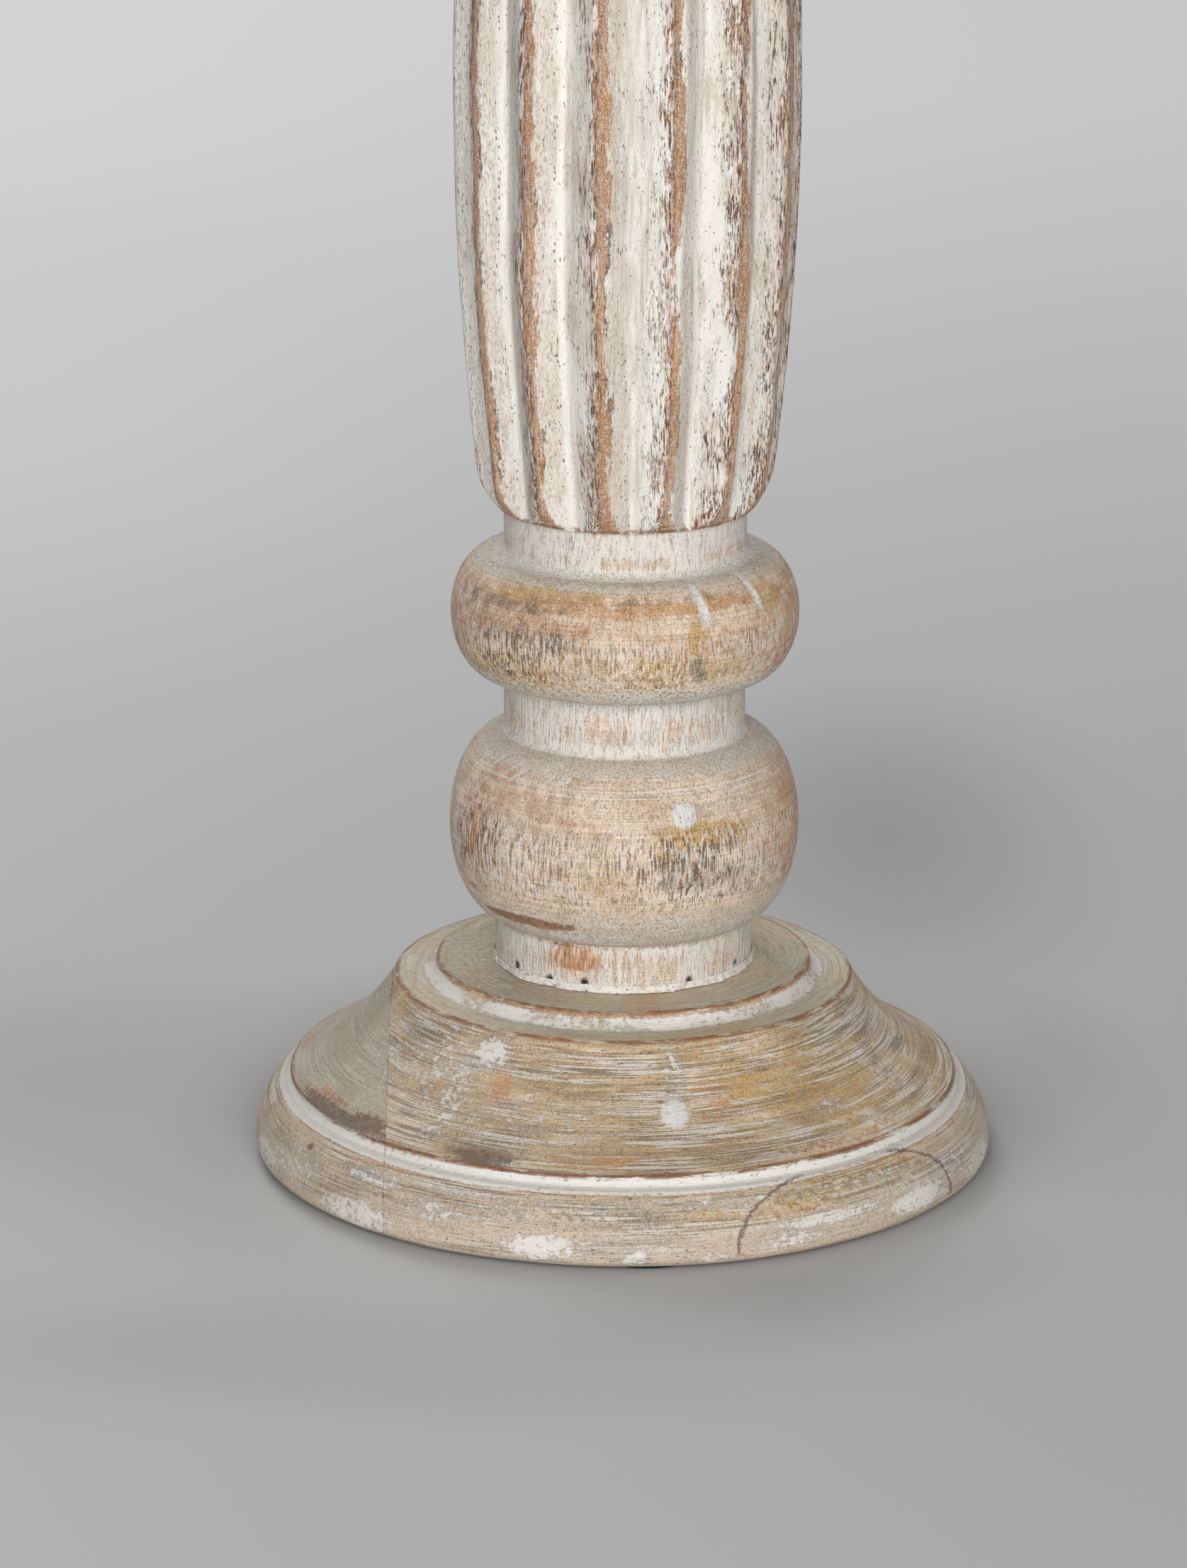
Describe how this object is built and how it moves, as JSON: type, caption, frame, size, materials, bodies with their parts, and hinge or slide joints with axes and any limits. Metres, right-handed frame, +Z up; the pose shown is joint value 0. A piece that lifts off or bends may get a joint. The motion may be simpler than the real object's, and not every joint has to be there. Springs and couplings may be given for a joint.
{
  "type": "wooden candlestick",
  "caption": "Tall turned candlestick with a spreading round base, ball and bead baluster, swelling fluted shaft, and a drip dish with an iron pricket for a pillar candle.",
  "frame": {"origin": "middle of the base at the surface it stands on, under the felt pads", "axes": "+Z up along the turning axis; the front, with the first felt pad and the worn crest just left of the middle, faces -Y; the glued edge board of the base is at -X"},
  "size_m": [0.15, 0.15, 0.3998],
  "materials": {
    "limed_base_wood": "matt whitewash rubbed back to tan mango wood, brown on the worn edges",
    "limed_edge_wood": "matt grey-green whitewash over a denser, smoother board",
    "limed_wood": "limed tan wood with white and dark pores",
    "worn_white_paint": "matt off-white paint, worn to orange-brown wood along the crests",
    "white_filler": "rough white wood filler",
    "black_iron": "dark forged iron, slightly rough",
    "zinc_steel": "dull zinc plating",
    "bare_dowel_wood": "bare beech-like wood",
    "dark_felt": "black pressed felt"
  },
  "bodies": {
    "root": {"base_foot": "limed_base_wood", "base_edge_block": "limed_edge_wood", "lower_baluster": "limed_wood", "joint_filler": "white_filler", "fluted_shaft": "worn_white_paint", "upper_collar": "limed_wood", "drip_dish": "limed_base_wood", "pricket_plate": "black_iron", "pricket_spike": "black_iron", "plate_screws": "zinc_steel", "base_screw": "zinc_steel", "base_washer": "zinc_steel", "lower_dowel": "bare_dowel_wood", "upper_dowel": "bare_dowel_wood", "felt_pads": "dark_felt"}
  },
  "joints": []
}
